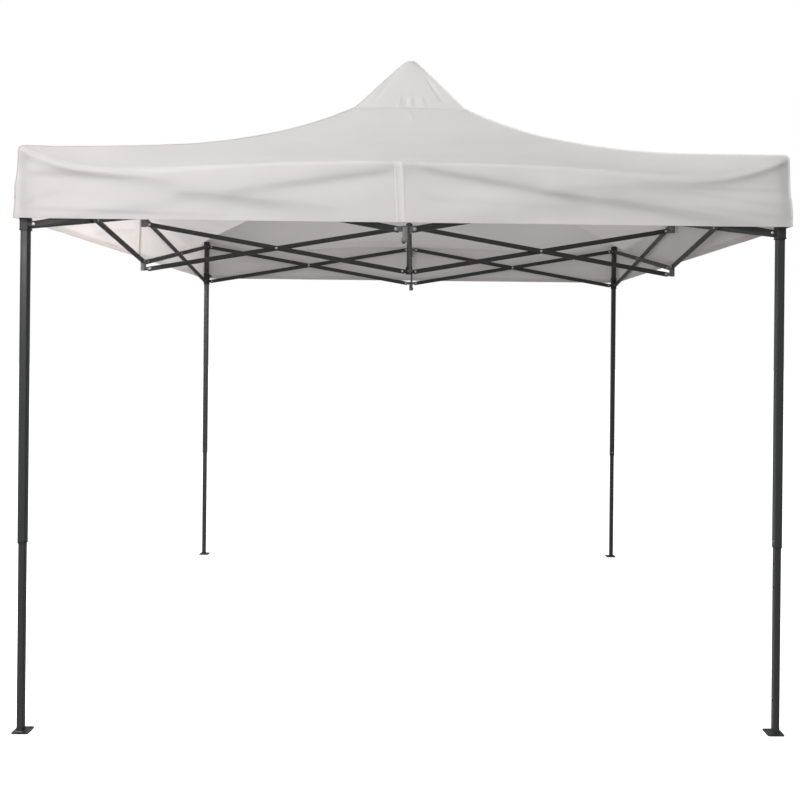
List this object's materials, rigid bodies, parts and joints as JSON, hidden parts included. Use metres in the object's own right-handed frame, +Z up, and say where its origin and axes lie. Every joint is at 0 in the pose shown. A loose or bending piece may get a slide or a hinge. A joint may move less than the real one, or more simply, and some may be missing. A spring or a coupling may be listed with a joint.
{
  "type": "pop up canopy",
  "caption": "Folding square shelter: a steel scissor frame on telescopic legs carries a peaked fabric roof with a straight valance.",
  "frame": {"origin": "on the ground, at the middle of the square that the four feet stand on", "axes": "+Z up through the peak; -Y is the front, and +X is to its right"},
  "size_m": [2.976, 2.976, 3.057],
  "materials": {
    "black_steel": "satin powder coat",
    "black_plastic": "matte moulded nylon",
    "bright_steel": "zinc plated",
    "white_fabric": "coated polyester weave"
  },
  "bodies": {
    "upper_hub": {"upper_hub": "black_plastic"},
    "inner_bar_front_falling": {"inner_bar_front_falling": "black_steel"},
    "inner_bar_front_rising": {"inner_bar_front_rising": "black_steel"},
    "middle_upper_front": {"middle_bracket_upper_front": "black_plastic"},
    "middle_lower_front": {"middle_bracket_lower_front": "black_plastic"},
    "lower_hub": {"lower_hub": "black_plastic", "centre_tube": "black_steel"},
    "peak_pole": {"peak_pole": "black_steel"},
    "eave_bar_front_front_left_falling": {"eave_bar_front_front_left_falling": "black_steel"},
    "eave_bar_front_front_left_rising": {"eave_bar_front_front_left_rising": "black_steel"},
    "outer_leg_front_left": {"outer_leg_front_left": "black_steel"},
    "slider_front_left": {"slider_front_left": "black_plastic"},
    "eave_bar_front_front_right_falling": {"eave_bar_front_front_right_falling": "black_steel"},
    "eave_bar_front_front_right_rising": {"eave_bar_front_front_right_rising": "black_steel"},
    "outer_leg_front_right": {"outer_leg_front_right": "black_steel"},
    "slider_front_right": {"slider_front_right": "black_plastic"},
    "canopy_front": {"canopy_front": "white_fabric"},
    "inner_bar_right_falling": {"inner_bar_right_falling": "black_steel"},
    "inner_bar_right_rising": {"inner_bar_right_rising": "black_steel"},
    "middle_upper_right": {"middle_bracket_upper_right": "black_plastic"},
    "middle_lower_right": {"middle_bracket_lower_right": "black_plastic"},
    "eave_bar_right_front_right_falling": {"eave_bar_right_front_right_falling": "black_steel"},
    "eave_bar_right_front_right_rising": {"eave_bar_right_front_right_rising": "black_steel"},
    "eave_bar_right_back_right_falling": {"eave_bar_right_back_right_falling": "black_steel"},
    "eave_bar_right_back_right_rising": {"eave_bar_right_back_right_rising": "black_steel"},
    "canopy_right": {"canopy_right": "white_fabric"},
    "inner_bar_back_falling": {"inner_bar_back_falling": "black_steel"},
    "inner_bar_back_rising": {"inner_bar_back_rising": "black_steel"},
    "middle_upper_back": {"middle_bracket_upper_back": "black_plastic"},
    "middle_lower_back": {"middle_bracket_lower_back": "black_plastic"},
    "eave_bar_back_back_right_falling": {"eave_bar_back_back_right_falling": "black_steel"},
    "eave_bar_back_back_right_rising": {"eave_bar_back_back_right_rising": "black_steel"},
    "outer_leg_back_right": {"outer_leg_back_right": "black_steel"},
    "slider_back_right": {"slider_back_right": "black_plastic"},
    "eave_bar_back_back_left_falling": {"eave_bar_back_back_left_falling": "black_steel"},
    "eave_bar_back_back_left_rising": {"eave_bar_back_back_left_rising": "black_steel"},
    "outer_leg_back_left": {"outer_leg_back_left": "black_steel"},
    "slider_back_left": {"slider_back_left": "black_plastic"},
    "canopy_back": {"canopy_back": "white_fabric"},
    "inner_bar_left_falling": {"inner_bar_left_falling": "black_steel"},
    "inner_bar_left_rising": {"inner_bar_left_rising": "black_steel"},
    "middle_upper_left": {"middle_bracket_upper_left": "black_plastic"},
    "middle_lower_left": {"middle_bracket_lower_left": "black_plastic"},
    "eave_bar_left_back_left_falling": {"eave_bar_left_back_left_falling": "black_steel"},
    "eave_bar_left_back_left_rising": {"eave_bar_left_back_left_rising": "black_steel"},
    "eave_bar_left_front_left_falling": {"eave_bar_left_front_left_falling": "black_steel"},
    "eave_bar_left_front_left_rising": {"eave_bar_left_front_left_rising": "black_steel"},
    "canopy_left": {"canopy_left": "white_fabric"},
    "inner_leg_front_left": {"inner_leg_front_left": "black_steel"},
    "slider_latch_front_left": {"slider_latch_front_left": "black_plastic"},
    "leg_button_front_left": {"leg_button_front_left": "bright_steel"},
    "inner_leg_front_right": {"inner_leg_front_right": "black_steel"},
    "slider_latch_front_right": {"slider_latch_front_right": "black_plastic"},
    "leg_button_front_right": {"leg_button_front_right": "bright_steel"},
    "inner_leg_back_right": {"inner_leg_back_right": "black_steel"},
    "slider_latch_back_right": {"slider_latch_back_right": "black_plastic"},
    "leg_button_back_right": {"leg_button_back_right": "bright_steel"},
    "inner_leg_back_left": {"inner_leg_back_left": "black_steel"},
    "slider_latch_back_left": {"slider_latch_back_left": "black_plastic"},
    "leg_button_back_left": {"leg_button_back_left": "bright_steel"}
  },
  "joints": [
    {"name": "fold", "type": "hinge", "parent": "upper_hub", "child": "inner_bar_front_falling", "pos_m": [0, -0.036, 2.15], "axis": [1, 0, 0], "range_deg": [0, 77.2]},
    {"name": "inner_bar_front_rising_pivot", "type": "hinge", "parent": "inner_bar_front_falling", "child": "inner_bar_front_rising", "pos_m": [0, -0.73, 2.03], "axis": [1, 0, 0], "range_deg": [-154.4, 0]},
    {"name": "middle_lower_front_pivot", "type": "hinge", "parent": "inner_bar_front_falling", "child": "middle_lower_front", "pos_m": [0, -1.424, 1.91], "axis": [1, 0, 0], "range_deg": [-77.2, 0]},
    {"name": "middle_upper_front_pivot", "type": "hinge", "parent": "inner_bar_front_rising", "child": "middle_upper_front", "pos_m": [0, -1.424, 2.15], "axis": [1, 0, 0], "range_deg": [0, 77.2]},
    {"name": "lower_hub_pivot", "type": "hinge", "parent": "inner_bar_front_rising", "child": "lower_hub", "pos_m": [0, -0.036, 1.91], "axis": [1, 0, 0], "range_deg": [0, 77.2]},
    {"name": "peak_pole_slide", "type": "slide", "parent": "lower_hub", "child": "peak_pole", "axis": [0, 0, 1], "range_m": [0, 0.56]},
    {"name": "eave_bar_front_front_left_falling_pivot", "type": "hinge", "parent": "middle_upper_front", "child": "eave_bar_front_front_left_falling", "pos_m": [-0.036, -1.46, 2.19], "axis": [0, -1, 0], "range_deg": [0, 77.2]},
    {"name": "eave_bar_front_front_left_rising_pivot", "type": "hinge", "parent": "eave_bar_front_front_left_falling", "child": "eave_bar_front_front_left_rising", "pos_m": [-0.73, -1.46, 2.07], "axis": [0, -1, 0], "range_deg": [-154.4, 0]},
    {"name": "outer_leg_front_left_pivot", "type": "hinge", "parent": "eave_bar_front_front_left_rising", "child": "outer_leg_front_left", "pos_m": [-1.424, -1.46, 2.19], "axis": [0, -1, 0], "range_deg": [0, 77.2]},
    {"name": "slider_front_left_pivot", "type": "hinge", "parent": "eave_bar_front_front_left_falling", "child": "slider_front_left", "pos_m": [-1.424, -1.46, 1.95], "axis": [0, -1, 0], "range_deg": [-77.2, 0]},
    {"name": "eave_bar_front_front_right_falling_pivot", "type": "hinge", "parent": "middle_upper_front", "child": "eave_bar_front_front_right_falling", "pos_m": [0.036, -1.46, 2.19], "axis": [0, 1, 0], "range_deg": [0, 77.2]},
    {"name": "eave_bar_front_front_right_rising_pivot", "type": "hinge", "parent": "eave_bar_front_front_right_falling", "child": "eave_bar_front_front_right_rising", "pos_m": [0.73, -1.46, 2.07], "axis": [0, 1, 0], "range_deg": [-154.4, 0]},
    {"name": "outer_leg_front_right_pivot", "type": "hinge", "parent": "eave_bar_front_front_right_rising", "child": "outer_leg_front_right", "pos_m": [1.424, -1.46, 2.19], "axis": [0, 1, 0], "range_deg": [0, 77.2]},
    {"name": "slider_front_right_pivot", "type": "hinge", "parent": "eave_bar_front_front_right_falling", "child": "slider_front_right", "pos_m": [1.424, -1.46, 1.95], "axis": [0, 1, 0], "range_deg": [-77.2, 0]},
    {"name": "canopy_front_fold", "type": "hinge", "parent": "middle_upper_front", "child": "canopy_front", "pos_m": [0, -1.481, 2.205], "axis": [-1, 0, 0], "range_deg": [0, 116], "deforming": ["canopy_front"]},
    {"name": "inner_bar_right_falling_pivot", "type": "hinge", "parent": "upper_hub", "child": "inner_bar_right_falling", "pos_m": [0.036, 0, 2.15], "axis": [0, 1, 0], "range_deg": [0, 77.2]},
    {"name": "inner_bar_right_rising_pivot", "type": "hinge", "parent": "inner_bar_right_falling", "child": "inner_bar_right_rising", "pos_m": [0.73, 0, 2.03], "axis": [0, 1, 0], "range_deg": [-154.4, 0]},
    {"name": "middle_lower_right_pivot", "type": "hinge", "parent": "inner_bar_right_falling", "child": "middle_lower_right", "pos_m": [1.424, 0, 1.91], "axis": [0, 1, 0], "range_deg": [-77.2, 0]},
    {"name": "middle_upper_right_pivot", "type": "hinge", "parent": "inner_bar_right_rising", "child": "middle_upper_right", "pos_m": [1.424, 0, 2.15], "axis": [0, 1, 0], "range_deg": [0, 77.2]},
    {"name": "eave_bar_right_front_right_falling_pivot", "type": "hinge", "parent": "middle_upper_right", "child": "eave_bar_right_front_right_falling", "pos_m": [1.46, -0.036, 2.19], "axis": [1, 0, 0], "range_deg": [0, 77.2]},
    {"name": "eave_bar_right_front_right_rising_pivot", "type": "hinge", "parent": "eave_bar_right_front_right_falling", "child": "eave_bar_right_front_right_rising", "pos_m": [1.46, -0.73, 2.07], "axis": [1, 0, 0], "range_deg": [-154.4, 0]},
    {"name": "eave_bar_right_back_right_falling_pivot", "type": "hinge", "parent": "middle_upper_right", "child": "eave_bar_right_back_right_falling", "pos_m": [1.46, 0.036, 2.19], "axis": [-1, 0, 0], "range_deg": [0, 77.2]},
    {"name": "eave_bar_right_back_right_rising_pivot", "type": "hinge", "parent": "eave_bar_right_back_right_falling", "child": "eave_bar_right_back_right_rising", "pos_m": [1.46, 0.73, 2.07], "axis": [-1, 0, 0], "range_deg": [-154.4, 0]},
    {"name": "canopy_right_fold", "type": "hinge", "parent": "middle_upper_right", "child": "canopy_right", "pos_m": [1.481, 0, 2.205], "axis": [0, -1, 0], "range_deg": [0, 116], "deforming": ["canopy_right"]},
    {"name": "inner_bar_back_falling_pivot", "type": "hinge", "parent": "upper_hub", "child": "inner_bar_back_falling", "pos_m": [0, 0.036, 2.15], "axis": [-1, 0, 0], "range_deg": [0, 77.2]},
    {"name": "inner_bar_back_rising_pivot", "type": "hinge", "parent": "inner_bar_back_falling", "child": "inner_bar_back_rising", "pos_m": [0, 0.73, 2.03], "axis": [-1, 0, 0], "range_deg": [-154.4, 0]},
    {"name": "middle_lower_back_pivot", "type": "hinge", "parent": "inner_bar_back_falling", "child": "middle_lower_back", "pos_m": [0, 1.424, 1.91], "axis": [-1, 0, 0], "range_deg": [-77.2, 0]},
    {"name": "middle_upper_back_pivot", "type": "hinge", "parent": "inner_bar_back_rising", "child": "middle_upper_back", "pos_m": [0, 1.424, 2.15], "axis": [-1, 0, 0], "range_deg": [0, 77.2]},
    {"name": "eave_bar_back_back_right_falling_pivot", "type": "hinge", "parent": "middle_upper_back", "child": "eave_bar_back_back_right_falling", "pos_m": [0.036, 1.46, 2.19], "axis": [0, 1, 0], "range_deg": [0, 77.2]},
    {"name": "eave_bar_back_back_right_rising_pivot", "type": "hinge", "parent": "eave_bar_back_back_right_falling", "child": "eave_bar_back_back_right_rising", "pos_m": [0.73, 1.46, 2.07], "axis": [0, 1, 0], "range_deg": [-154.4, 0]},
    {"name": "outer_leg_back_right_pivot", "type": "hinge", "parent": "eave_bar_back_back_right_rising", "child": "outer_leg_back_right", "pos_m": [1.424, 1.46, 2.19], "axis": [0, 1, 0], "range_deg": [0, 77.2]},
    {"name": "slider_back_right_pivot", "type": "hinge", "parent": "eave_bar_back_back_right_falling", "child": "slider_back_right", "pos_m": [1.424, 1.46, 1.95], "axis": [0, 1, 0], "range_deg": [-77.2, 0]},
    {"name": "eave_bar_back_back_left_falling_pivot", "type": "hinge", "parent": "middle_upper_back", "child": "eave_bar_back_back_left_falling", "pos_m": [-0.036, 1.46, 2.19], "axis": [0, -1, 0], "range_deg": [0, 77.2]},
    {"name": "eave_bar_back_back_left_rising_pivot", "type": "hinge", "parent": "eave_bar_back_back_left_falling", "child": "eave_bar_back_back_left_rising", "pos_m": [-0.73, 1.46, 2.07], "axis": [0, -1, 0], "range_deg": [-154.4, 0]},
    {"name": "outer_leg_back_left_pivot", "type": "hinge", "parent": "eave_bar_back_back_left_rising", "child": "outer_leg_back_left", "pos_m": [-1.424, 1.46, 2.19], "axis": [0, -1, 0], "range_deg": [0, 77.2]},
    {"name": "slider_back_left_pivot", "type": "hinge", "parent": "eave_bar_back_back_left_falling", "child": "slider_back_left", "pos_m": [-1.424, 1.46, 1.95], "axis": [0, -1, 0], "range_deg": [-77.2, 0]},
    {"name": "canopy_back_fold", "type": "hinge", "parent": "middle_upper_back", "child": "canopy_back", "pos_m": [0, 1.481, 2.205], "axis": [1, 0, 0], "range_deg": [0, 116], "deforming": ["canopy_back"]},
    {"name": "inner_bar_left_falling_pivot", "type": "hinge", "parent": "upper_hub", "child": "inner_bar_left_falling", "pos_m": [-0.036, 0, 2.15], "axis": [0, -1, 0], "range_deg": [0, 77.2]},
    {"name": "inner_bar_left_rising_pivot", "type": "hinge", "parent": "inner_bar_left_falling", "child": "inner_bar_left_rising", "pos_m": [-0.73, 0, 2.03], "axis": [0, -1, 0], "range_deg": [-154.4, 0]},
    {"name": "middle_lower_left_pivot", "type": "hinge", "parent": "inner_bar_left_falling", "child": "middle_lower_left", "pos_m": [-1.424, 0, 1.91], "axis": [0, -1, 0], "range_deg": [-77.2, 0]},
    {"name": "middle_upper_left_pivot", "type": "hinge", "parent": "inner_bar_left_rising", "child": "middle_upper_left", "pos_m": [-1.424, 0, 2.15], "axis": [0, -1, 0], "range_deg": [0, 77.2]},
    {"name": "eave_bar_left_back_left_falling_pivot", "type": "hinge", "parent": "middle_upper_left", "child": "eave_bar_left_back_left_falling", "pos_m": [-1.46, 0.036, 2.19], "axis": [-1, 0, 0], "range_deg": [0, 77.2]},
    {"name": "eave_bar_left_back_left_rising_pivot", "type": "hinge", "parent": "eave_bar_left_back_left_falling", "child": "eave_bar_left_back_left_rising", "pos_m": [-1.46, 0.73, 2.07], "axis": [-1, 0, 0], "range_deg": [-154.4, 0]},
    {"name": "eave_bar_left_front_left_falling_pivot", "type": "hinge", "parent": "middle_upper_left", "child": "eave_bar_left_front_left_falling", "pos_m": [-1.46, -0.036, 2.19], "axis": [1, 0, 0], "range_deg": [0, 77.2]},
    {"name": "eave_bar_left_front_left_rising_pivot", "type": "hinge", "parent": "eave_bar_left_front_left_falling", "child": "eave_bar_left_front_left_rising", "pos_m": [-1.46, -0.73, 2.07], "axis": [1, 0, 0], "range_deg": [-154.4, 0]},
    {"name": "canopy_left_fold", "type": "hinge", "parent": "middle_upper_left", "child": "canopy_left", "pos_m": [-1.481, 0, 2.205], "axis": [0, 1, 0], "range_deg": [0, 116], "deforming": ["canopy_left"]},
    {"name": "leg_extension_front_left", "type": "slide", "parent": "outer_leg_front_left", "child": "inner_leg_front_left", "axis": [0, 0, 1], "range_m": [0, 0.62]},
    {"name": "latch_front_left", "type": "slide", "parent": "slider_front_left", "child": "slider_latch_front_left", "axis": [0, 1, 0], "range_m": [0, 0.006], "stiffness_N_per_m": 900, "springref_m": -0.004},
    {"name": "button_front_left", "type": "slide", "parent": "outer_leg_front_left", "child": "leg_button_front_left", "axis": [0, -1, 0], "range_m": [0, 0.004], "stiffness_N_per_m": 900, "springref_m": -0.003},
    {"name": "leg_extension_front_right", "type": "slide", "parent": "outer_leg_front_right", "child": "inner_leg_front_right", "axis": [0, 0, 1], "range_m": [0, 0.62]},
    {"name": "latch_front_right", "type": "slide", "parent": "slider_front_right", "child": "slider_latch_front_right", "axis": [-1, 0, 0], "range_m": [0, 0.006], "stiffness_N_per_m": 900, "springref_m": -0.004},
    {"name": "button_front_right", "type": "slide", "parent": "outer_leg_front_right", "child": "leg_button_front_right", "axis": [1, 0, 0], "range_m": [0, 0.004], "stiffness_N_per_m": 900, "springref_m": -0.003},
    {"name": "leg_extension_back_right", "type": "slide", "parent": "outer_leg_back_right", "child": "inner_leg_back_right", "axis": [0, 0, 1], "range_m": [0, 0.62]},
    {"name": "latch_back_right", "type": "slide", "parent": "slider_back_right", "child": "slider_latch_back_right", "axis": [0, -1, 0], "range_m": [0, 0.006], "stiffness_N_per_m": 900, "springref_m": -0.004},
    {"name": "button_back_right", "type": "slide", "parent": "outer_leg_back_right", "child": "leg_button_back_right", "axis": [0, 1, 0], "range_m": [0, 0.004], "stiffness_N_per_m": 900, "springref_m": -0.003},
    {"name": "leg_extension_back_left", "type": "slide", "parent": "outer_leg_back_left", "child": "inner_leg_back_left", "axis": [0, 0, 1], "range_m": [0, 0.62]},
    {"name": "latch_back_left", "type": "slide", "parent": "slider_back_left", "child": "slider_latch_back_left", "axis": [1, 0, 0], "range_m": [0, 0.006], "stiffness_N_per_m": 900, "springref_m": -0.004},
    {"name": "button_back_left", "type": "slide", "parent": "outer_leg_back_left", "child": "leg_button_back_left", "axis": [-1, 0, 0], "range_m": [0, 0.004], "stiffness_N_per_m": 900, "springref_m": -0.003}
  ],
  "couplings": [
    {"joint": "inner_bar_front_rising_pivot", "follows": "fold", "ratio": -2},
    {"joint": "middle_lower_front_pivot", "follows": "fold", "ratio": -1},
    {"joint": "middle_upper_front_pivot", "follows": "fold", "ratio": 1},
    {"joint": "lower_hub_pivot", "follows": "fold", "ratio": 1},
    {"joint": "peak_pole_slide", "follows": "fold", "m_per_rad": 0.41558},
    {"joint": "eave_bar_front_front_left_falling_pivot", "follows": "fold", "ratio": 1},
    {"joint": "eave_bar_front_front_left_rising_pivot", "follows": "fold", "ratio": -2},
    {"joint": "outer_leg_front_left_pivot", "follows": "fold", "ratio": 1},
    {"joint": "slider_front_left_pivot", "follows": "fold", "ratio": -1},
    {"joint": "eave_bar_front_front_right_falling_pivot", "follows": "fold", "ratio": 1},
    {"joint": "eave_bar_front_front_right_rising_pivot", "follows": "fold", "ratio": -2},
    {"joint": "outer_leg_front_right_pivot", "follows": "fold", "ratio": 1},
    {"joint": "slider_front_right_pivot", "follows": "fold", "ratio": -1},
    {"joint": "canopy_front_fold", "follows": "fold", "ratio": 1.5026},
    {"joint": "inner_bar_right_falling_pivot", "follows": "fold", "ratio": 1},
    {"joint": "inner_bar_right_rising_pivot", "follows": "fold", "ratio": -2},
    {"joint": "middle_lower_right_pivot", "follows": "fold", "ratio": -1},
    {"joint": "middle_upper_right_pivot", "follows": "fold", "ratio": 1},
    {"joint": "eave_bar_right_front_right_falling_pivot", "follows": "fold", "ratio": 1},
    {"joint": "eave_bar_right_front_right_rising_pivot", "follows": "fold", "ratio": -2},
    {"joint": "eave_bar_right_back_right_falling_pivot", "follows": "fold", "ratio": 1},
    {"joint": "eave_bar_right_back_right_rising_pivot", "follows": "fold", "ratio": -2},
    {"joint": "canopy_right_fold", "follows": "fold", "ratio": 1.5026},
    {"joint": "inner_bar_back_falling_pivot", "follows": "fold", "ratio": 1},
    {"joint": "inner_bar_back_rising_pivot", "follows": "fold", "ratio": -2},
    {"joint": "middle_lower_back_pivot", "follows": "fold", "ratio": -1},
    {"joint": "middle_upper_back_pivot", "follows": "fold", "ratio": 1},
    {"joint": "eave_bar_back_back_right_falling_pivot", "follows": "fold", "ratio": 1},
    {"joint": "eave_bar_back_back_right_rising_pivot", "follows": "fold", "ratio": -2},
    {"joint": "outer_leg_back_right_pivot", "follows": "fold", "ratio": 1},
    {"joint": "slider_back_right_pivot", "follows": "fold", "ratio": -1},
    {"joint": "eave_bar_back_back_left_falling_pivot", "follows": "fold", "ratio": 1},
    {"joint": "eave_bar_back_back_left_rising_pivot", "follows": "fold", "ratio": -2},
    {"joint": "outer_leg_back_left_pivot", "follows": "fold", "ratio": 1},
    {"joint": "slider_back_left_pivot", "follows": "fold", "ratio": -1},
    {"joint": "canopy_back_fold", "follows": "fold", "ratio": 1.5026},
    {"joint": "inner_bar_left_falling_pivot", "follows": "fold", "ratio": 1},
    {"joint": "inner_bar_left_rising_pivot", "follows": "fold", "ratio": -2},
    {"joint": "middle_lower_left_pivot", "follows": "fold", "ratio": -1},
    {"joint": "middle_upper_left_pivot", "follows": "fold", "ratio": 1},
    {"joint": "eave_bar_left_back_left_falling_pivot", "follows": "fold", "ratio": 1},
    {"joint": "eave_bar_left_back_left_rising_pivot", "follows": "fold", "ratio": -2},
    {"joint": "eave_bar_left_front_left_falling_pivot", "follows": "fold", "ratio": 1},
    {"joint": "eave_bar_left_front_left_rising_pivot", "follows": "fold", "ratio": -2},
    {"joint": "canopy_left_fold", "follows": "fold", "ratio": 1.5026}
  ]
}
